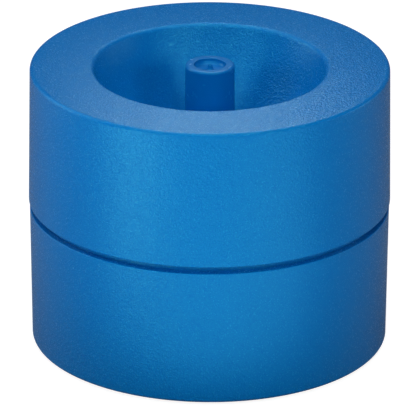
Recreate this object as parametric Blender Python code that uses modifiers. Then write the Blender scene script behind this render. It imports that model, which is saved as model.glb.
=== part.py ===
"""Magnetic paper-clip dispenser: a round cup, a push-on funnel lid and a magnet post.

Clips lie loose in the cup. Turned over, they slide through the throat of the funnel and
hang on the tip of the post, where a hidden magnet holds them in reach of two fingers.
The lid slides up off the spigot of the cup for refilling.

Every size below is in millimetres and every height is above the table. The finished
meshes are in metres, +Z up, with the origin on the axis at the soles of the feet.
"""

from math import cos, pi, radians, sin, tan

import bmesh
import bpy
from mathutils import Vector

MM = 0.001
GAP = 0.3  # clearance between neighbouring pieces
WALL = 1.8  # wall of both mouldings

# Whole object
DRUM_RADIUS = 37.0  # at the lower edge of the lid, the widest place
LID_TOP_RADIUS = 36.67
LID_TOP_Z = 59.2
SHOULDER_RADIUS = 36.8  # at the upper edge of the cup
SHOULDER_Z = 29.0
SOLE_RADIUS = 36.41  # at the lower edge of the cup
SOLE_Z = 0.5
GROOVE = 1.5  # open height between the cup's shoulder and the lid's edge
LID_EDGE_Z = SHOULDER_Z + GROOVE
OUTER_FILLET = 0.7
SEAM_FILLET = 0.2

# Spigot of the cup, which stands inside the skirt of the lid
SPIGOT_RADIUS = 35.3
SPIGOT_WALL = 1.6
SPIGOT_TOP_Z = 36.5
SKIRT_BORE = SPIGOT_RADIUS + GAP
SKIRT_STEP = 0.65  # the skirt is thicker above the spigot by this much

# Funnel of the lid: steep at the rim, flatter at the throat
RIM_RADIUS = 23.8
RIM_FILLET = 1.1
RIM_SLOPE = 18.0  # degrees from upright
THROAT_RADIUS = 13.3
THROAT_FILLET = 2.0
THROAT_Z = 38.0
THROAT_SLOPE = 36.0  # degrees from upright
LIP_Z = 34.5
LIP_FILLET = 0.8
FUNNEL_STEPS = 7
INNER_FILLET = 1.2

# Stop ribs under the lid, which rest on the spigot and so set the groove
RIB_COUNT = 6
RIB_THICKNESS = 1.2
RIB_FOOT = 3.0  # length of the foot that meets the spigot

# Floor, hub and gussets of the cup
UNDERSIDE_Z = 2.3
FLOOR_Z = UNDERSIDE_Z + WALL
JOGGLE_Z = 26.8  # where the wall starts to step in to the spigot
HUB_RADIUS = 7.9
HUB_TOP_Z = 14.0
GUSSET_COUNT = 4
GUSSET_THICKNESS = 1.2
GUSSET_REACH = 5.5
GUSSET_TOP_Z = 11.5

# Post with a recess in its tip
POST_TOP_Z = 59.7
POST_RADIUS = 5.0  # at the height of the lid's top
POST_DRAFT = 0.6  # degrees a side, wider downwards
POST_FILLET = 0.5
RECESS_RADIUS = 3.2
RECESS_DEPTH = 1.2
RECESS_FILLET = 0.9  # round corner between its floor and its wall
RECESS_LIP_FILLET = 0.15
GATE_RADIUS = 0.75  # stub left where the moulding was broken from its runner
GATE_TIP_RADIUS = 0.38
GATE_HEIGHT = 1.15
FLANGE_RADIUS = 9.0
FLANGE_BOTTOM_Z = 0.9

# Magnet in the post, and the plug that holds it up
MAGNET_RADIUS = 3.25
MAGNET_LENGTH = 20.0
BORE_RADIUS = 3.6
BORE_TOP_Z = 57.2
PLUG_RADIUS = 3.2
PLUG_HEAD_RADIUS = 4.2
PLUG_HEAD_THICKNESS = 1.2
EDGE_CHAMFER = 0.3

# Feet and the rings that locate them
FOOT_COUNT = 4
FOOT_RADIUS = 5.0
FOOT_CIRCLE = 27.0
FOOT_RING_WALL = 1.0
FOOT_RING_BOTTOM_Z = 1.2

SHELL_SEGMENTS = 60
POST_SEGMENTS = 36
SMALL_SEGMENTS = 24
BURY = 0.3  # how far a joined shape reaches into the piece it joins
MERGE = 0.01
SHARP_ANGLE = 35.0  # degrees


# ------------------------------------------------------------------ scene and materials


def clear_scene():
    for old in list(bpy.data.objects):
        bpy.data.objects.remove(old)


def new_collection(name):
    group = bpy.data.collections.new(name)
    bpy.context.scene.collection.children.link(group)
    return group


def new_material(name, colour, roughness, metallic=0.0):
    made = bpy.data.materials.new(name)
    made.use_nodes = True
    shader = made.node_tree.nodes["Principled BSDF"]
    shader.inputs["Base Color"].default_value = (*colour, 1.0)
    shader.inputs["Roughness"].default_value = roughness
    shader.inputs["Metallic"].default_value = metallic
    return made


# ------------------------------------------------------------------ outlines, as (radius, height)


def fillet(before, corner, after, radius, steps):
    """Arc that rounds a corner and meets both of its straight runs at a tangent."""
    corner = Vector(corner)
    back = (Vector(before) - corner).normalized()
    on = (Vector(after) - corner).normalized()
    half = back.angle(on) / 2
    reach = radius / tan(half)
    centre = corner + (back + on).normalized() * radius / sin(half)
    first = (corner + back * reach - centre).normalized()
    last = (corner + on * reach - centre).normalized()
    return [centre + first.slerp(last, i / steps) * radius for i in range(steps + 1)]


def rounded(corners, closed=True):
    """Outline through the corners; a third number rounds one, a fourth sets its steps."""
    outline = []
    for i, (r, z, *rounding) in enumerate(corners):
        inside = closed or 0 < i < len(corners) - 1
        if not rounding or not inside:
            outline.append(Vector((r, z)))
            continue
        steps = rounding[1] if len(rounding) > 1 else 3
        before = corners[i - 1][:2]
        after = corners[(i + 1) % len(corners)][:2]
        outline += fillet(before, (r, z), after, rounding[0], steps)
    return outline


def slope_vector(degrees):
    """Unit step down and inwards along a wall that leans this far from upright."""
    return Vector((-sin(radians(degrees)), -cos(radians(degrees))))


def funnel_face(offset=0.0):
    """Curve from the rim down to the throat, moved outwards and down by the offset.

    It is a quadratic curve whose middle point is where the end slopes cross.
    """
    rim, throat = Vector((RIM_RADIUS, LID_TOP_Z)), Vector((THROAT_RADIUS, THROAT_Z))
    first, last = slope_vector(RIM_SLOPE), slope_vector(THROAT_SLOPE)
    middle = rim + first * (throat - rim).cross(last) / first.cross(last)
    points = []
    for i in range(FUNNEL_STEPS + 1):
        t = i / FUNNEL_STEPS
        place = rim * (1 - t) ** 2 + middle * 2 * t * (1 - t) + throat * t * t
        along = ((middle - rim) * (1 - t) + (throat - middle) * t).normalized()
        points.append(place + Vector((-along.y, along.x)) * offset)
    return points


def post_radius(z):
    """Radius of the tapered post at this height."""
    return POST_RADIUS + (LID_TOP_Z - z) * tan(radians(POST_DRAFT))


# ------------------------------------------------------------------ making solids


def as_metres(outline):
    return [(x * MM, z * MM) for x, z in outline]


def add_object(name, mesh, group, material):
    made = bpy.data.objects.new(name, mesh)
    group.objects.link(made)
    mesh.materials.clear()
    mesh.materials.append(material)
    return made


def evaluated_mesh(source):
    """Plain mesh of an object with its modifiers or its curve's thickness applied."""
    graph = bpy.context.evaluated_depsgraph_get()
    return bpy.data.meshes.new_from_object(source.evaluated_get(graph), depsgraph=graph)


def turned(name, outline, group, material, segments, closed=True):
    """Body of revolution about Z; the outline runs down its outer side."""
    points = as_metres(outline)
    edges = [(i, i + 1) for i in range(len(points) - 1)]
    if closed:
        edges.append((len(points) - 1, 0))
    profile = bpy.data.meshes.new(name + "_profile")
    profile.from_pydata([(x, 0.0, z) for x, z in points], edges, [])
    lathe = add_object(name + "_profile", profile, group, material)
    screw = lathe.modifiers.new("Turn", "SCREW")
    screw.axis = "Z"
    screw.angle = 2 * pi
    screw.steps = segments
    screw.render_steps = segments
    screw.use_merge_vertices = True
    screw.merge_threshold = MERGE * MM
    mesh = evaluated_mesh(lathe)
    bpy.data.objects.remove(lathe)
    mesh.shade_smooth()
    mesh.set_sharp_from_angle(angle=radians(SHARP_ANGLE))
    return add_object(name, mesh, group, material)


def plate(name, outline, thickness, group, material):
    """Flat plate that stands in the XZ plane, centred on Y."""
    curve = bpy.data.curves.new(name + "_outline", "CURVE")
    curve.dimensions = "2D"
    curve.fill_mode = "BOTH"
    curve.extrude = thickness / 2 * MM
    spline = curve.splines.new("POLY")
    spline.points.add(len(outline) - 1)
    for point, (x, z) in zip(spline.points, as_metres(outline)):
        point.co = (x, z, 0.0, 1.0)
    spline.use_cyclic_u = True
    sketch = bpy.data.objects.new(name + "_outline", curve)
    group.objects.link(sketch)
    bpy.context.view_layer.update()
    mesh = evaluated_mesh(sketch)
    bpy.data.objects.remove(sketch)
    shape = bmesh.new()
    shape.from_mesh(mesh)
    bmesh.ops.remove_doubles(shape, verts=shape.verts, dist=MERGE * MM)
    shape.to_mesh(mesh)
    shape.free()
    made = add_object(name, mesh, group, material)
    made.rotation_euler = (pi / 2, 0.0, 0.0)
    return made


def hide_helper(helper):
    helper.hide_render = True
    helper.display_type = "WIRE"


def join(piece, helper):
    """Unites a helper shape with a piece."""
    hide_helper(helper)
    union = piece.modifiers.new(helper.name, "BOOLEAN")
    union.operation = "UNION"
    union.solver = "EXACT"
    union.object = helper


# ------------------------------------------------------------------ the pieces


def make_lid(group, helpers, material):
    """Skirt, flat ring and funnel, which are one moulding."""
    inner_skirt = SKIRT_BORE - SKIRT_STEP
    underside = LID_TOP_Z - WALL
    face = funnel_face()
    back = [p for p in funnel_face(WALL) if THROAT_Z < p.y < underside - INNER_FILLET]
    lip_back = THROAT_RADIUS + WALL
    knee_z = THROAT_Z - WALL * tan(radians(THROAT_SLOPE / 2))
    corners = [
        (LID_TOP_RADIUS, LID_TOP_Z, OUTER_FILLET),
        (DRUM_RADIUS, LID_EDGE_Z, SEAM_FILLET, 1),
        (SKIRT_BORE, LID_EDGE_Z, SEAM_FILLET, 1),
        (SKIRT_BORE, SPIGOT_TOP_Z + 2 * GAP),
        (inner_skirt, SPIGOT_TOP_Z + 2 * GAP + SKIRT_STEP),
        (inner_skirt, underside, INNER_FILLET),
        (back[0].x + (underside - back[0].y) * tan(radians(RIM_SLOPE)), underside, INNER_FILLET),
        *[tuple(p) for p in back],
        (lip_back, knee_z, THROAT_FILLET, 2),
        (lip_back, LIP_Z, LIP_FILLET),
        (THROAT_RADIUS, LIP_Z, LIP_FILLET),
        (*face[-1], THROAT_FILLET),
        *[tuple(p) for p in reversed(face[1:-1])],
        (*face[0], RIM_FILLET, 4),
    ]
    lid = turned("lid_shell", rounded(corners), group, material, SHELL_SEGMENTS)

    outer = SKIRT_BORE + BURY
    foot_z = SPIGOT_TOP_Z + GAP
    rib = [
        (outer, foot_z),
        (SKIRT_BORE - RIB_FOOT, foot_z),
        (back[3].x - BURY, back[3].y),
        (back[0].x - BURY, back[0].y),
        (back[0].x, underside + BURY),
        (outer, underside + BURY),
    ]
    for i in range(RIB_COUNT):
        helper = plate(f"stop_rib_{i + 1}", rib, RIB_THICKNESS, helpers, material)
        helper.rotation_euler.z = 2 * pi * (i + 0.5) / RIB_COUNT
        join(lid, helper)
    return lid


def make_cup(group, helpers, material):
    """Cup with a foot rim, a spigot for the lid and a hub for the post."""
    inner_spigot = SPIGOT_RADIUS - SPIGOT_WALL
    inner_sole = SOLE_RADIUS - WALL
    inner_wall = SHOULDER_RADIUS - WALL
    hub_bore = post_radius(UNDERSIDE_Z) + GAP
    corners = [
        (SPIGOT_RADIUS - 0.1, SPIGOT_TOP_Z, EDGE_CHAMFER, 1),
        (SPIGOT_RADIUS, SHOULDER_Z),
        (SHOULDER_RADIUS, SHOULDER_Z, SEAM_FILLET, 1),
        (SOLE_RADIUS, SOLE_Z, OUTER_FILLET),
        (inner_sole, SOLE_Z, EDGE_CHAMFER, 1),
        (inner_sole, UNDERSIDE_Z),
        (hub_bore, UNDERSIDE_Z),
        (hub_bore, HUB_TOP_Z),
        (HUB_RADIUS, HUB_TOP_Z, EDGE_CHAMFER, 1),
        (HUB_RADIUS, FLOOR_Z, INNER_FILLET),
        (inner_sole, FLOOR_Z, INNER_FILLET),
        (inner_wall, JOGGLE_Z),
        (inner_spigot, JOGGLE_Z + inner_wall - inner_spigot),
        (inner_spigot, SPIGOT_TOP_Z, EDGE_CHAMFER, 1),
    ]
    cup = turned("base_cup", rounded(corners), group, material, SHELL_SEGMENTS)

    gusset = [
        (HUB_RADIUS - BURY, FLOOR_Z - BURY),
        (HUB_RADIUS + GUSSET_REACH, FLOOR_Z - BURY),
        (HUB_RADIUS + GUSSET_REACH, FLOOR_Z + BURY),
        (HUB_RADIUS, GUSSET_TOP_Z),
        (HUB_RADIUS - BURY, GUSSET_TOP_Z),
    ]
    for i in range(GUSSET_COUNT):
        helper = plate(f"gusset_{i + 1}", gusset, GUSSET_THICKNESS, helpers, material)
        helper.rotation_euler.z = 2 * pi * i / GUSSET_COUNT
        join(cup, helper)

    bore = FOOT_RADIUS + 2 * GAP
    ring = [
        (bore + FOOT_RING_WALL, UNDERSIDE_Z + BURY),
        (bore + FOOT_RING_WALL, FOOT_RING_BOTTOM_Z),
        (bore, FOOT_RING_BOTTOM_Z),
        (bore, UNDERSIDE_Z + BURY),
    ]
    for i, (x, y) in enumerate(foot_places()):
        helper = turned(f"foot_ring_{i + 1}", ring, helpers, material, SMALL_SEGMENTS)
        helper.location = (x * MM, y * MM, 0.0)
        join(cup, helper)
    return cup


def make_post(group, material):
    """Post with a recess in its tip and a foot flange, bored from below for the magnet."""
    underside = UNDERSIDE_Z - GAP
    head_bore = PLUG_HEAD_RADIUS + GAP
    head_bore_top = FLANGE_BOTTOM_Z + PLUG_HEAD_THICKNESS + GAP
    recess_z = POST_TOP_Z - RECESS_DEPTH
    corners = [
        (0.0, recess_z + GATE_HEIGHT),
        (GATE_TIP_RADIUS, recess_z + GATE_HEIGHT),
        (GATE_RADIUS, recess_z),
        (RECESS_RADIUS, recess_z, RECESS_FILLET, 4),
        (RECESS_RADIUS, POST_TOP_Z, RECESS_LIP_FILLET, 1),
        (post_radius(POST_TOP_Z), POST_TOP_Z, POST_FILLET),
        (post_radius(underside), underside),
        (FLANGE_RADIUS, underside, EDGE_CHAMFER, 1),
        (FLANGE_RADIUS, FLANGE_BOTTOM_Z, EDGE_CHAMFER, 1),
        (head_bore, FLANGE_BOTTOM_Z),
        (head_bore, head_bore_top),
        (BORE_RADIUS, head_bore_top),
        (BORE_RADIUS, BORE_TOP_Z),
        (0.0, BORE_TOP_Z),
    ]
    outline = rounded(corners, closed=False)
    return turned("centre_post", outline, group, material, POST_SEGMENTS, closed=False)


def make_magnet(group, material):
    top = BORE_TOP_Z - GAP
    corners = [
        (0.0, top),
        (MAGNET_RADIUS, top, EDGE_CHAMFER, 1),
        (MAGNET_RADIUS, top - MAGNET_LENGTH, EDGE_CHAMFER, 1),
        (0.0, top - MAGNET_LENGTH),
    ]
    outline = rounded(corners, closed=False)
    return turned("post_magnet", outline, group, material, SMALL_SEGMENTS, closed=False)


def make_plug(group, material):
    """Long plug pushed up the bore, which carries the magnet and closes the flange."""
    top = BORE_TOP_Z - MAGNET_LENGTH - 2 * GAP
    head_top = FLANGE_BOTTOM_Z + PLUG_HEAD_THICKNESS
    corners = [
        (0.0, top),
        (PLUG_RADIUS, top, EDGE_CHAMFER, 1),
        (PLUG_RADIUS, head_top),
        (PLUG_HEAD_RADIUS, head_top),
        (PLUG_HEAD_RADIUS, FLANGE_BOTTOM_Z, EDGE_CHAMFER, 1),
        (0.0, FLANGE_BOTTOM_Z),
    ]
    outline = rounded(corners, closed=False)
    return turned("magnet_plug", outline, group, material, SMALL_SEGMENTS, closed=False)


def foot_places():
    """Centres of the feet, on the diagonals."""
    turns = [2 * pi * (i + 0.5) / FOOT_COUNT for i in range(FOOT_COUNT)]
    return [(FOOT_CIRCLE * cos(t), FOOT_CIRCLE * sin(t)) for t in turns]


def make_feet(group, material):
    top = UNDERSIDE_Z - GAP
    corners = [
        (0.0, top),
        (FOOT_RADIUS, top, EDGE_CHAMFER, 1),
        (FOOT_RADIUS, 0.0, EDGE_CHAMFER),
        (0.0, 0.0),
    ]
    outline = rounded(corners, closed=False)
    for i, (x, y) in enumerate(foot_places()):
        foot = turned(f"foot_{i + 1}", outline, group, material, SMALL_SEGMENTS, closed=False)
        foot.location = (x * MM, y * MM, 0.0)


def main():
    clear_scene()
    dispenser = new_collection("clip_dispenser")
    helpers = new_collection("joined_shapes")
    blue = new_material("blue_textured_plastic", (0.002, 0.156, 0.540), 0.42)
    satin_blue = new_material("blue_satin_plastic", (0.002, 0.148, 0.525), 0.3)
    nickel = new_material("nickel_plated_magnet", (0.62, 0.60, 0.57), 0.25, metallic=1.0)
    grey = new_material("grey_plastic", (0.20, 0.20, 0.21), 0.5)
    rubber = new_material("black_rubber", (0.02, 0.02, 0.022), 0.8)

    make_lid(dispenser, helpers, blue)
    make_cup(dispenser, helpers, blue)
    make_post(dispenser, satin_blue)
    make_magnet(dispenser, nickel)
    make_plug(dispenser, grey)
    make_feet(dispenser, rubber)


main()
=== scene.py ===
"""Looks of the magnetic paper-clip dispenser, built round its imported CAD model.

Every piece is turned again from its outline, finer than the CAD solid but of the same size,
and takes a moulded-plastic, rubber or nickel finish. Outlines are lists of (radius, height)
in millimetres from the axis and from the table; meshes are in metres like the frame.
"""

from math import cos, pi, radians, sin, sqrt, tan

import bpy
from mathutils import Euler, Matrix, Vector


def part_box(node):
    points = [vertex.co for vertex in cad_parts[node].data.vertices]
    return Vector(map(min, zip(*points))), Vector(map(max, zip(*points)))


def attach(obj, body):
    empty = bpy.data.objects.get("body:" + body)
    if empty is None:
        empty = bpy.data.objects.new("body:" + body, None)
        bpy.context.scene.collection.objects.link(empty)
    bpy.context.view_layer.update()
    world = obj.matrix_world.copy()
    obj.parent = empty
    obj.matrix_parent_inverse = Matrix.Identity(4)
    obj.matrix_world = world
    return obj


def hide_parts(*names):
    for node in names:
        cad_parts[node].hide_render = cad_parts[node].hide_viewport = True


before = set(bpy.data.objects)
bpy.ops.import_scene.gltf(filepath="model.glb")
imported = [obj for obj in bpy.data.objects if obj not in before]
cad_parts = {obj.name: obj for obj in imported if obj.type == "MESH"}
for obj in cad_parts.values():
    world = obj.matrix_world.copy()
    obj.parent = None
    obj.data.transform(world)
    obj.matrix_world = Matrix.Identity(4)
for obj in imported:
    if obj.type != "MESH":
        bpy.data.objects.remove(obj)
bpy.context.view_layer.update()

MM = 0.001


def top_of(node):
    """Height of a CAD node's highest corner, in millimetres."""
    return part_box(node)[1].z / MM


def foot_of(node):
    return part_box(node)[0].z / MM


def reach_of(node):
    """Largest distance of a turned CAD node from its axis, in millimetres."""
    low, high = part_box(node)
    return (high.x - low.x) / 2 / MM


def axis_of(node):
    """Where a turned CAD node's axis meets the table, in metres."""
    low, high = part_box(node)
    return ((low.x + high.x) / 2, (low.y + high.y) / 2, 0.0)


# Sizes in millimetres, guessed where the photograph shows nothing; angles in degrees
GAP = 0.3  # clearance between neighbouring pieces
WALL = 1.8  # wall of both mouldings
OUTER_FILLET = 0.7
SEAM_FILLET = 0.2
INNER_FILLET = 1.2
EDGE_CHAMFER = 0.3

# Lid
LID_TOP_Z = top_of("lid_shell")
LID_TOP_RADIUS = 36.67
DRUM_RADIUS = 37.0
LID_EDGE_Z = foot_of("lid_shell")
RIM_RADIUS = 23.8
RIM_FILLET = 1.1
RIM_SLOPE = 18.0  # from upright
THROAT_RADIUS = 13.3
THROAT_FILLET = 2.0
THROAT_Z = 38.0
THROAT_SLOPE = 36.0  # from upright
LIP_Z = 34.5
LIP_FILLET = 0.8
FUNNEL_STEPS = 60
FUNNEL_TRIM = 2  # points left out at each end of the funnel, to make room for the fillets
SKIRT_STEP = 0.65
RIB_COUNT = 6
RIB_THICKNESS = 1.2
RIB_FOOT = 3.0
LID_TEXTURE_FROM = 36.2  # the lid's texture covers its skirt beyond this radius
UPWARD = 0.1  # and every face whose normal rises more than this

# Cup
SHOULDER_RADIUS = 36.8
SHOULDER_Z = 29.0
SOLE_RADIUS = 36.41
SOLE_Z = foot_of("base_cup")
SPIGOT_RADIUS = 35.3
SPIGOT_WALL = 1.6
SPIGOT_LEAD_IN = 0.1
SPIGOT_TOP_Z = top_of("base_cup")
SKIRT_BORE = SPIGOT_RADIUS + GAP
UNDERSIDE_Z = 2.3
FLOOR_Z = UNDERSIDE_Z + WALL
JOGGLE_Z = 26.8
HUB_RADIUS = 7.9
HUB_TOP_Z = 14.0
GUSSET_COUNT = 4
GUSSET_THICKNESS = 1.2
GUSSET_REACH = 5.5
GUSSET_TOP_Z = 11.5
FOOT_RING_WALL = 1.0
FOOT_RING_BOTTOM_Z = 1.2
CUP_TEXTURE_FROM = 35.1  # the cup's texture covers its wall and spigot beyond this radius
FEET = ("foot_1", "foot_2", "foot_3", "foot_4")

# Post
POST_TOP_Z = top_of("centre_post")
POST_RADIUS = 5.0
POST_DRAFT = 0.6  # a side
POST_FILLET = 0.5
RECESS_RADIUS = 3.2
RECESS_Z = POST_TOP_Z - 1.2
RECESS_FILLET = 0.9
RECESS_LIP_FILLET = 0.15
GATE_RADIUS = 0.75
GATE_TIP_RADIUS = 0.38
GATE_HEIGHT = 1.15
# The gate stub's outline from the hollow in its torn tip down its side: radius, depth below
# the stub's top
GATE_TIP = [(0.0, 0.32), (0.13, 0.30), (0.22, 0.16), (0.27, 0.03), (0.33, 0.0)]
GATE_TIP_EDGE = 0.05
GATE_FLARE = [(0.05, 0.75), (0.12, 0.45), (0.22, 0.18)]  # growth in radius, share of the height
GATE_FOOT = (0.05, 0.04)  # inside the stub's radius, above the recess
GATE_TEAR = ((0.10, 2, 0.7), (0.06, 5, 0.0))  # share of the radius, waves round, turn
GATE_SAG = (0.07, 3, 1.0)  # mm, waves round, turn
FLANGE_RADIUS = reach_of("centre_post")
FLANGE_BOTTOM_Z = foot_of("centre_post")
PLUG_HEAD_RADIUS = reach_of("magnet_plug")
PLUG_HEAD_THICKNESS = 1.2
PLUG_STEM_RADIUS = 3.2
BORE_RADIUS = 3.6
BORE_TOP_Z = top_of("post_magnet") + GAP

SHELL_SEGMENTS = 288
POST_SEGMENTS = 144
SMALL_SEGMENTS = 96
FILLET_STEPS = 8
HOLD = 0.1  # a ring of points this share of the radius past a fillet keeps the flats flat
BURY = 0.3  # how far ribs and rings reach into the wall they are united with
SHARP_ANGLE = 40.0
ON_AXIS = 1e-6  # a smaller radius counts as a point on the axis


# ------------------------------------------------------------------ outlines, as (radius, height)


def fillet(before, corner, after, radius):
    """Arc that rounds a corner and meets both of its straight runs at a tangent."""
    corner = Vector(corner)
    back = (Vector(before) - corner).normalized()
    on = (Vector(after) - corner).normalized()
    half = back.angle(on) / 2
    reach = radius / tan(half)
    centre = corner + (back + on).normalized() * radius / sin(half)
    first = (corner + back * reach - centre).normalized()
    last = (corner + on * reach - centre).normalized()
    shares = [i / FILLET_STEPS for i in range(FILLET_STEPS + 1)]
    arc = [centre + first.slerp(last, share) * radius for share in shares]
    hold = reach + radius * HOLD
    return [corner + back * hold, *arc, corner + on * hold]


def rounded(corners):
    """Outline through the corners; a third number rounds one of them."""
    outline = []
    for i, (r, z, *rounding) in enumerate(corners):
        if not rounding:
            outline.append(Vector((r, z)))
            continue
        before = corners[i - 1][:2]
        after = corners[(i + 1) % len(corners)][:2]
        outline += fillet(before, (r, z), after, rounding[0])
    return outline


def slope_vector(degrees):
    """Unit step down and inwards along a wall that leans this far from upright."""
    return Vector((-sin(radians(degrees)), -cos(radians(degrees))))


def funnel_face(offset=0.0):
    """Quadratic curve from the rim down to the throat, moved outwards by the offset."""
    rim, throat = Vector((RIM_RADIUS, LID_TOP_Z)), Vector((THROAT_RADIUS, THROAT_Z))
    first, last = slope_vector(RIM_SLOPE), slope_vector(THROAT_SLOPE)
    middle = rim + first * (throat - rim).cross(last) / first.cross(last)
    points = []
    for i in range(FUNNEL_STEPS + 1):
        t = i / FUNNEL_STEPS
        place = rim * (1 - t) ** 2 + middle * 2 * t * (1 - t) + throat * t * t
        along = ((middle - rim) * (1 - t) + (throat - middle) * t).normalized()
        points.append(place + Vector((-along.y, along.x)) * offset)
    return points


def post_radius(z):
    return POST_RADIUS + (LID_TOP_Z - z) * tan(radians(POST_DRAFT))


# ------------------------------------------------------------------ meshes


def new_object(name, mesh):
    made = bpy.data.objects.new(name, mesh)
    bpy.context.scene.collection.objects.link(made)
    return made


def turned(name, outline, segments, closed=True, wobble=None):
    """Mesh turned about Z from an outline that runs down its outer side."""
    rings, verts = [], []
    for point in outline:
        if point[0] < ON_AXIS:
            rings.append([len(verts)] * segments)
            verts.append((0.0, 0.0, point[1] * MM))
            continue
        rings.append(list(range(len(verts), len(verts) + segments)))
        for k in range(segments):
            angle = 2 * pi * k / segments
            r, z = wobble(point[0], point[1], angle) if wobble else point
            verts.append((r * cos(angle) * MM, r * sin(angle) * MM, z * MM))
    faces = []
    for i in range(len(rings) if closed else len(rings) - 1):
        upper, lower = rings[i], rings[(i + 1) % len(rings)]
        for k in range(segments):
            n = (k + 1) % segments
            corners = [upper[k], lower[k], lower[n], upper[n]]
            faces.append(list(dict.fromkeys(corners)))
    mesh = bpy.data.meshes.new(name)
    mesh.from_pydata(verts, [], faces)
    mesh.validate()
    return new_object(name, mesh)


def plate(name, outline, thickness, turn):
    """Upright plate with its outline in the plane that holds the axis, at this turn."""
    half = thickness / 2
    count = len(outline)
    verts = []
    for side in (-half, half):
        for r, z in outline:
            x = r * cos(turn) - side * sin(turn)
            y = r * sin(turn) + side * cos(turn)
            verts.append((x * MM, y * MM, z * MM))
    faces = [list(range(count)), list(range(2 * count - 1, count - 1, -1))]
    for i in range(count):
        n = (i + 1) % count
        faces.append([n, i, i + count, n + count])
    mesh = bpy.data.meshes.new(name)
    mesh.from_pydata(verts, [], faces)
    return new_object(name, mesh)


def united(piece, helpers):
    """Adds the helpers to the piece as one closed body and removes them."""
    for helper in helpers:
        union = piece.modifiers.new(helper.name, "BOOLEAN")
        union.operation = "UNION"
        union.solver = "EXACT"
        union.object = helper
    graph = bpy.context.evaluated_depsgraph_get()
    mesh = bpy.data.meshes.new_from_object(piece.evaluated_get(graph), depsgraph=graph)
    piece.modifiers.clear()
    piece.data = mesh
    for helper in helpers:
        bpy.data.objects.remove(helper)


def finish_piece(piece, body, node, slot, *materials):
    piece.data.materials.clear()
    for material in materials:
        piece.data.materials.append(material)
    piece.data.shade_smooth()
    piece.data.set_sharp_from_angle(angle=radians(SHARP_ANGLE))
    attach(piece, body)
    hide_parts(node)


def paint_inside(piece, is_outside):
    """Gives the second material to the faces that the outside texture doesn't cover."""
    for face in piece.data.polygons:
        r = sqrt(face.center.x**2 + face.center.y**2) / MM
        face.material_index = 0 if is_outside(r, face.normal) else 1


# ------------------------------------------------------------------ materials


class Nodes:
    """Short way to add shader nodes to a material and link them."""

    def __init__(self, name):
        self.material = bpy.data.materials.new(name)
        self.material.use_nodes = True
        self.tree = self.material.node_tree
        self.shader = self.tree.nodes["Principled BSDF"]
        self.place = self.add("ShaderNodeTexCoord").outputs["Object"]

    def add(self, kind):
        return self.tree.nodes.new(kind)

    def link(self, source, target):
        """Links an output to a socket, or to the shader's input of that name."""
        if isinstance(target, str):
            target = self.shader.inputs[target]
        self.tree.links.new(source, target)

    def set(self, name, value):
        self.shader.inputs[name].default_value = value

    def noise(self, size_mm, detail=2.0, roughness=0.5):
        """Noise whose grains are about this many millimetres across."""
        node = self.add("ShaderNodeTexNoise")
        node.inputs["Scale"].default_value = 1 / (size_mm * MM)
        node.inputs["Detail"].default_value = detail
        node.inputs["Roughness"].default_value = roughness
        self.link(self.place, node.inputs["Vector"])
        return node.outputs["Fac"]

    def cells(self, size_mm):
        """Distance from the centres of scattered cells: shallow craters."""
        node = self.add("ShaderNodeTexVoronoi")
        node.feature = "SMOOTH_F1"
        node.inputs["Scale"].default_value = 1 / (size_mm * MM)
        node.inputs["Smoothness"].default_value = CELL_SMOOTHNESS
        self.link(self.place, node.inputs["Vector"])
        return node.outputs["Distance"]

    def spread(self, value, source, target):
        """Stretches a value from one range over another."""
        node = self.add("ShaderNodeMapRange")
        node.inputs["From Min"].default_value, node.inputs["From Max"].default_value = source
        node.inputs["To Min"].default_value, node.inputs["To Max"].default_value = target
        self.link(value, node.inputs["Value"])
        return node.outputs["Result"]

    def mixed(self, factor, first, second):
        node = self.add("ShaderNodeMix")
        node.data_type = "RGBA"
        node.inputs["A"].default_value = (*first, 1.0)
        node.inputs["B"].default_value = (*second, 1.0)
        self.link(factor, node.inputs["Factor"])
        return node.outputs["Result"]

    def bump(self, height, depth_mm, under=None):
        node = self.add("ShaderNodeBump")
        node.inputs["Strength"].default_value = 1.0
        node.inputs["Distance"].default_value = depth_mm * MM
        self.link(height, node.inputs["Height"])
        if under is not None:
            self.link(under, node.inputs["Normal"])
        return node.outputs["Normal"]


# Each material drifts between a pair of linear colours
TEXTURED_BLUES = (0.0, 0.151, 0.540), (0.0, 0.201, 0.603)
SATIN_BLUES = (0.0, 0.152, 0.515), (0.0, 0.143, 0.495)
GREYS = (0.19, 0.19, 0.20), (0.23, 0.23, 0.24)
NICKELS = (0.60, 0.58, 0.54), (0.68, 0.66, 0.62)
BLACKS = (0.016, 0.016, 0.018), (0.030, 0.030, 0.032)
FLOOR_TONES = (0.25, 0.25, 0.25), (0.27, 0.27, 0.27)
BLUE_GLOSS = (0.12, 1.0, 1.0, 1.0)  # tint of the straight-on gloss; grazing gloss stays white
TEXTURED_IOR = 1.62  # above a plain plastic's, set against the photograph
CELL_SMOOTHNESS = 0.4
MID_NOISE = (0.3, 0.7)  # noise hardly leaves this range
MID_GRAIN = (0.35, 0.65)
FULL = (0.0, 1.0)


def textured_blue():
    """Blue plastic from a spark-eroded mould: fine craters that glitter a little."""
    n = Nodes("blue_textured_plastic")
    grain = n.noise(0.30, detail=2.0, roughness=0.4)
    craters = n.cells(0.55)
    mottle = n.spread(n.noise(0.26, detail=1.0), MID_NOISE, FULL)
    n.link(n.mixed(mottle, *TEXTURED_BLUES), "Base Color")
    n.link(n.spread(mottle, FULL, (0.25, 0.75)), "Specular IOR Level")
    n.link(n.spread(grain, MID_GRAIN, (0.18, 0.28)), "Roughness")
    n.link(n.bump(grain, 0.11, n.bump(craters, 0.05)), "Normal")
    n.set("IOR", TEXTURED_IOR)
    n.set("Specular Tint", BLUE_GLOSS)
    return n.material


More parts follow.
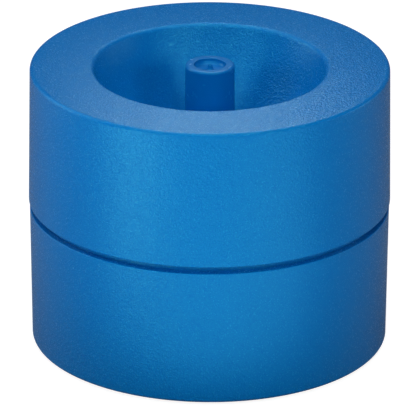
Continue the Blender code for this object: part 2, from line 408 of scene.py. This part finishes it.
def satin_blue(name):
    """Blue plastic from a polished mould: smooth, with a faint flow in its gloss."""
    n = Nodes(name)
    flow = n.noise(2.5, detail=3.0)
    n.link(n.mixed(flow, *SATIN_BLUES), "Base Color")
    n.link(n.spread(flow, MID_NOISE, (0.20, 0.28)), "Roughness")
    n.link(n.bump(n.noise(0.5), 0.004), "Normal")
    n.set("Specular Tint", BLUE_GLOSS)
    return n.material


def grey_plastic():
    n = Nodes("grey_plastic")
    flow = n.noise(1.5, detail=3.0)
    n.link(n.mixed(flow, *GREYS), "Base Color")
    n.link(n.spread(flow, MID_NOISE, (0.42, 0.55)), "Roughness")
    n.link(n.bump(n.noise(0.4), 0.01), "Normal")
    return n.material


def nickel():
    n = Nodes("nickel_plating")
    haze = n.noise(1.2, detail=4.0)
    n.link(n.mixed(haze, *NICKELS), "Base Color")
    n.link(n.spread(haze, MID_NOISE, (0.18, 0.32)), "Roughness")
    n.set("Metallic", 1.0)
    n.link(n.bump(n.noise(0.3), 0.002), "Normal")
    return n.material


def black_rubber():
    n = Nodes("black_rubber")
    bloom = n.noise(1.8, detail=3.0)
    n.link(n.mixed(bloom, *BLACKS), "Base Color")
    n.link(n.spread(bloom, MID_NOISE, (0.70, 0.88)), "Roughness")
    n.link(n.bump(n.noise(0.25), 0.02), "Normal")
    return n.material


def pale_floor():
    n = Nodes("pale_floor")
    n.link(n.mixed(n.noise(60.0), *FLOOR_TONES), "Base Color")
    n.set("Roughness", 0.9)
    return n.material


def glow():
    """Adds light to whatever shows through it."""
    made = bpy.data.materials.new("floor_glow")
    made.use_nodes = True
    nodes, links = made.node_tree.nodes, made.node_tree.links
    nodes.clear()
    shine = nodes.new("ShaderNodeEmission")
    clear = nodes.new("ShaderNodeBsdfTransparent")
    both = nodes.new("ShaderNodeAddShader")
    out = nodes.new("ShaderNodeOutputMaterial")
    shine.inputs["Strength"].default_value = GLOW
    links.new(shine.outputs[0], both.inputs[0])
    links.new(clear.outputs[0], both.inputs[1])
    links.new(both.outputs[0], out.inputs["Surface"])
    return made


# ------------------------------------------------------------------ the pieces


def make_lid(outside, inside):
    inner_skirt = SKIRT_BORE - SKIRT_STEP
    underside = LID_TOP_Z - WALL
    face = funnel_face()
    back = [p for p in funnel_face(WALL) if THROAT_Z < p.y < underside - INNER_FILLET]
    lip_back = THROAT_RADIUS + WALL
    knee_z = THROAT_Z - WALL * tan(radians(THROAT_SLOPE / 2))
    corners = [
        (LID_TOP_RADIUS, LID_TOP_Z, OUTER_FILLET),
        (DRUM_RADIUS, LID_EDGE_Z, SEAM_FILLET),
        (SKIRT_BORE, LID_EDGE_Z, SEAM_FILLET),
        (SKIRT_BORE, SPIGOT_TOP_Z + 2 * GAP),
        (inner_skirt, SPIGOT_TOP_Z + 2 * GAP + SKIRT_STEP),
        (inner_skirt, underside, INNER_FILLET),
        (back[0].x + (underside - back[0].y) * tan(radians(RIM_SLOPE)), underside, INNER_FILLET),
        *[tuple(p) for p in back],
        (lip_back, knee_z, THROAT_FILLET),
        (lip_back, LIP_Z, LIP_FILLET),
        (THROAT_RADIUS, LIP_Z, LIP_FILLET),
        (*face[-1], THROAT_FILLET),
        *[tuple(p) for p in reversed(face[FUNNEL_TRIM:-FUNNEL_TRIM])],
        (*face[0], RIM_FILLET),
    ]
    lid = turned("lid", rounded(corners), SHELL_SEGMENTS)

    outer = SKIRT_BORE + BURY
    foot_z = SPIGOT_TOP_Z + GAP
    half_back = back[len(back) // 2]
    rib = [
        (outer, foot_z),
        (SKIRT_BORE - RIB_FOOT, foot_z),
        (half_back.x - BURY, half_back.y),
        (back[0].x - BURY, back[0].y),
        (back[0].x, underside + BURY),
        (outer, underside + BURY),
    ]
    turns = [2 * pi * (i + 0.5) / RIB_COUNT for i in range(RIB_COUNT)]
    united(lid, [plate(f"stop_rib_{i}", rib, RIB_THICKNESS, t) for i, t in enumerate(turns)])
    finish_piece(lid, "lid", "lid_shell", "blue_textured_plastic", outside, inside)
    paint_inside(lid, lambda r, normal: normal.z > UPWARD or r > LID_TEXTURE_FROM)


def make_cup(outside, inside):
    inner_spigot = SPIGOT_RADIUS - SPIGOT_WALL
    inner_sole = SOLE_RADIUS - WALL
    inner_wall = SHOULDER_RADIUS - WALL
    hub_bore = post_radius(UNDERSIDE_Z) + GAP
    corners = [
        (SPIGOT_RADIUS - SPIGOT_LEAD_IN, SPIGOT_TOP_Z, EDGE_CHAMFER),
        (SPIGOT_RADIUS, SHOULDER_Z),
        (SHOULDER_RADIUS, SHOULDER_Z, SEAM_FILLET),
        (SOLE_RADIUS, SOLE_Z, OUTER_FILLET),
        (inner_sole, SOLE_Z, EDGE_CHAMFER),
        (inner_sole, UNDERSIDE_Z),
        (hub_bore, UNDERSIDE_Z),
        (hub_bore, HUB_TOP_Z),
        (HUB_RADIUS, HUB_TOP_Z, EDGE_CHAMFER),
        (HUB_RADIUS, FLOOR_Z, INNER_FILLET),
        (inner_sole, FLOOR_Z, INNER_FILLET),
        (inner_wall, JOGGLE_Z),
        (inner_spigot, JOGGLE_Z + inner_wall - inner_spigot),
        (inner_spigot, SPIGOT_TOP_Z, EDGE_CHAMFER),
    ]
    cup = turned("cup", rounded(corners), SHELL_SEGMENTS)

    gusset = [
        (HUB_RADIUS - BURY, FLOOR_Z - BURY),
        (HUB_RADIUS + GUSSET_REACH, FLOOR_Z - BURY),
        (HUB_RADIUS + GUSSET_REACH, FLOOR_Z + BURY),
        (HUB_RADIUS, GUSSET_TOP_Z),
        (HUB_RADIUS - BURY, GUSSET_TOP_Z),
    ]
    gusset.reverse()
    turns = [2 * pi * i / GUSSET_COUNT for i in range(GUSSET_COUNT)]
    helpers = [plate(f"gusset_{i}", gusset, GUSSET_THICKNESS, t) for i, t in enumerate(turns)]
    for foot in FEET:
        bore = reach_of(foot) + 2 * GAP
        ring = [
            (bore + FOOT_RING_WALL, UNDERSIDE_Z + BURY),
            (bore + FOOT_RING_WALL, FOOT_RING_BOTTOM_Z),
            (bore, FOOT_RING_BOTTOM_Z),
            (bore, UNDERSIDE_Z + BURY),
        ]
        helper = turned(foot + "_ring", ring, SMALL_SEGMENTS)
        helper.location = axis_of(foot)
        helpers.append(helper)
    bpy.context.view_layer.update()
    united(cup, helpers)
    finish_piece(cup, "base", "base_cup", "blue_textured_plastic", outside, inside)
    paint_inside(cup, lambda r, normal: r > CUP_TEXTURE_FROM)


def torn_gate(r, z, angle):
    """Pulls the tip of the gate stub out of round, as a broken runner leaves it."""
    rise = (z - RECESS_Z) / GATE_HEIGHT
    if r > GATE_RADIUS or rise <= 0.0:
        return r, z
    torn = sum(share * sin(waves * angle + turn) for share, waves, turn in GATE_TEAR)
    depth, waves, turn = GATE_SAG
    return r * (1 + torn * rise), z + depth * rise**3 * (sin(waves * angle + turn) - 1)


def make_post(material):
    underside = UNDERSIDE_Z - GAP
    head_bore = PLUG_HEAD_RADIUS + GAP
    head_bore_top = FLANGE_BOTTOM_Z + PLUG_HEAD_THICKNESS + GAP
    gate_top = RECESS_Z + GATE_HEIGHT
    corners = [
        *[(r, gate_top - depth) for r, depth in GATE_TIP],
        (GATE_TIP_RADIUS, gate_top - GATE_TIP_EDGE),
        *[(GATE_TIP_RADIUS + grow, RECESS_Z + GATE_HEIGHT * rise) for grow, rise in GATE_FLARE],
        (GATE_RADIUS - GATE_FOOT[0], RECESS_Z + GATE_FOOT[1]),
        (GATE_RADIUS, RECESS_Z),
        (RECESS_RADIUS, RECESS_Z, RECESS_FILLET),
        (RECESS_RADIUS, POST_TOP_Z, RECESS_LIP_FILLET),
        (post_radius(POST_TOP_Z), POST_TOP_Z, POST_FILLET),
        (post_radius(underside), underside),
        (FLANGE_RADIUS, underside, EDGE_CHAMFER),
        (FLANGE_RADIUS, FLANGE_BOTTOM_Z, EDGE_CHAMFER),
        (head_bore, FLANGE_BOTTOM_Z),
        (head_bore, head_bore_top),
        (BORE_RADIUS, head_bore_top),
        (BORE_RADIUS, BORE_TOP_Z),
        (0.0, BORE_TOP_Z),
    ]
    post = turned("post", rounded(corners), POST_SEGMENTS, closed=False, wobble=torn_gate)
    finish_piece(post, "base", "centre_post", "blue_satin_plastic", material)


def solid_disc(name, node):
    """Disc of a CAD node's size with rounded edges, about the world's axis."""
    top, bottom, radius = top_of(node), foot_of(node), reach_of(node)
    corners = [
        (0.0, top),
        (radius, top, EDGE_CHAMFER),
        (radius, bottom, EDGE_CHAMFER),
        (0.0, bottom),
    ]
    return turned(name, rounded(corners), SMALL_SEGMENTS, closed=False)


def make_magnet(material):
    magnet = solid_disc("magnet", "post_magnet")
    finish_piece(magnet, "base", "post_magnet", "nickel_magnet", material)


def make_plug(material):
    top, bottom = top_of("magnet_plug"), foot_of("magnet_plug")
    corners = [
        (0.0, top),
        (PLUG_STEM_RADIUS, top, EDGE_CHAMFER),
        (PLUG_STEM_RADIUS, bottom + PLUG_HEAD_THICKNESS),
        (PLUG_HEAD_RADIUS, bottom + PLUG_HEAD_THICKNESS),
        (PLUG_HEAD_RADIUS, bottom, EDGE_CHAMFER),
        (0.0, bottom),
    ]
    plug = turned("plug", rounded(corners), SMALL_SEGMENTS, closed=False)
    finish_piece(plug, "base", "magnet_plug", "grey_plastic", material)


def make_feet(material):
    for i, node in enumerate(FEET):
        pad = solid_disc(f"pad_{i + 1}", node)
        pad.location = axis_of(node)
        finish_piece(pad, "base", node, "black_rubber", material)


# ------------------------------------------------------------------ studio


GLOW = 0.91  # radiance that the lit table and the backdrop add
AMBIENT = 0.07  # light from all round
STAGE_RADIUS = 3.0  # this and what follows is in metres, degrees and watts
TABLE_Z = -0.0002
GLOW_Z = -0.0001
PANEL_Z = 0.0005
DOME_STEPS = 24

# Softboxes: azimuth, elevation, distance, width, power, aim, spread of the beam
WIDE = 180.0
DRUM = Vector((0.0, 0.0, 0.05))
MIDDLE = Vector((0.0, 0.0, 0.03))
NEAR_RING = Vector((0.0, -0.030, LID_TOP_Z * MM))
SOFTBOXES = {
    "key": (-42.0, 22.0, 0.40, 0.08, 0.21, DRUM, WIDE),
    "fill": (34.0, 22.0, 0.40, 0.08, 0.24, DRUM, WIDE),
    "front_high": (0.0, 38.0, 0.60, 0.25, 0.50, DRUM, WIDE),
    "top": (0.0, 88.0, 0.60, 0.60, 1.93, MIDDLE, WIDE),
    "left_side": (-110.0, 36.0, 0.60, 0.30, 0.62, MIDDLE, WIDE),
    "left_low": (-105.0, 5.0, 0.60, 0.15, 0.42, MIDDLE, WIDE),
    "right_low": (100.0, 5.0, 0.60, 0.15, 0.28, MIDDLE, WIDE),
    "ring_shine": (180.0, 37.0, 0.15, 0.05, 0.0020, NEAR_RING, 36.0),
}
# Panels that lie on the table: x, y, width, depth, power
TABLE_PANELS = {
    "panel_near": (0.0, -0.075, 0.18, 0.05, 0.024),
    "panel_left": (-0.16, -0.15, 0.12, 0.10, 0.24),
    "panel_front": (0.0, -0.15, 0.20, 0.10, 0.075),
    "panel_right": (0.16, -0.15, 0.12, 0.10, 0.07),
}

CAMERA_ELEVATION = 22.84
CAMERA_DISTANCE = 1.4392
CAMERA_LENS = 607.8  # this and the sensor in millimetres
SENSOR_WIDTH = 36.0
CAMERA_AIM = Vector((-0.00030, 0.0, 0.02963))
CAMERA_RAISE = -0.00157  # along the picture's upright
CAMERA_LEAN = 0.196
CLIP_START = 0.05


def make_floor():
    """Table that a glow over it, which only the camera sees, turns pale, and a dome like it."""
    half = STAGE_RADIUS
    for name, height in (("floor", TABLE_Z), ("floor_glow", GLOW_Z)):
        mesh = bpy.data.meshes.new(name)
        square = [(-half, -half, 0), (half, -half, 0), (half, half, 0), (-half, half, 0)]
        mesh.from_pydata(square, [], [[0, 1, 2, 3]])
        plane = new_object(name, mesh)
        plane.location.z = height
    bpy.data.objects["floor"].data.materials.append(pale_floor())

    tilts = [radians(90.0) * i / DOME_STEPS for i in range(DOME_STEPS + 1)]
    arch = [(half / MM * sin(t), half / MM * cos(t)) for t in tilts]
    dome = turned("backdrop", arch, SMALL_SEGMENTS, closed=False)
    veil = glow()
    for stage in (bpy.data.objects["floor_glow"], dome):
        stage.data.materials.append(veil)
        stage.visible_diffuse = stage.visible_glossy = stage.visible_shadow = False


def direction(azimuth, elevation):
    """Unit vector from the object; azimuth 0 is the front, and 90 is the right."""
    a, e = radians(azimuth), radians(elevation)
    return Vector((sin(a) * cos(e), -cos(a) * cos(e), sin(e)))


def add_lamp(name, shape, width, power):
    lamp = bpy.data.lights.new(name, "AREA")
    lamp.shape = shape
    lamp.size = width
    lamp.energy = power
    made = new_object(name, lamp)
    made.visible_camera = False
    return made


def add_softbox(name, azimuth, elevation, distance, width, power, aim, spread):
    """Square lamp turned towards its aim; a small spread narrows its beam."""
    made = add_lamp(name, "SQUARE", width, power)
    made.data.spread = radians(spread)
    made.location = aim + direction(azimuth, elevation) * distance
    made.rotation_euler = (made.location - aim).to_track_quat("Z", "Y").to_euler()


def add_table_panel(name, x, y, width, depth, power):
    """Bright sheet on the table before the object, which lights the lower front walls."""
    made = add_lamp(name, "RECTANGLE", width, power)
    made.data.size_y = depth
    made.location = (x, y, PANEL_Z)
    made.rotation_euler = (pi, 0.0, 0.0)


def make_studio():
    world = bpy.data.worlds.new("studio")
    world.use_nodes = True
    background = world.node_tree.nodes["Background"]
    background.inputs["Color"].default_value = (1.0, 1.0, 1.0, 1.0)
    background.inputs["Strength"].default_value = AMBIENT
    bpy.context.scene.world = world
    for name, values in SOFTBOXES.items():
        add_softbox(name, *values)
    for name, values in TABLE_PANELS.items():
        add_table_panel(name, *values)
    bpy.context.scene.view_settings.view_transform = "Standard"


def make_camera():
    """Long lens at the front, looking down; the picture leans a fifth of a degree."""
    data = bpy.data.cameras.new("camera")
    data.sensor_width = SENSOR_WIDTH
    data.lens = CAMERA_LENS
    data.clip_start = CLIP_START
    camera = new_object("camera", data)
    elevation = radians(CAMERA_ELEVATION)
    up = Vector((0.0, sin(elevation), cos(elevation)))
    back = direction(0.0, CAMERA_ELEVATION) * CAMERA_DISTANCE
    camera.location = CAMERA_AIM + up * CAMERA_RAISE + back
    camera.rotation_euler = Euler((radians(90.0 - CAMERA_ELEVATION), 0.0, 0.0))
    camera.rotation_euler.rotate_axis("Z", radians(CAMERA_LEAN))
    bpy.context.scene.camera = camera


outside, inside = textured_blue(), satin_blue("blue_inner_plastic")
make_lid(outside, inside)
make_cup(outside, inside)
make_post(satin_blue("blue_satin_plastic"))
make_magnet(nickel())
make_plug(grey_plastic())
make_feet(black_rubber())
make_floor()
make_studio()
make_camera()
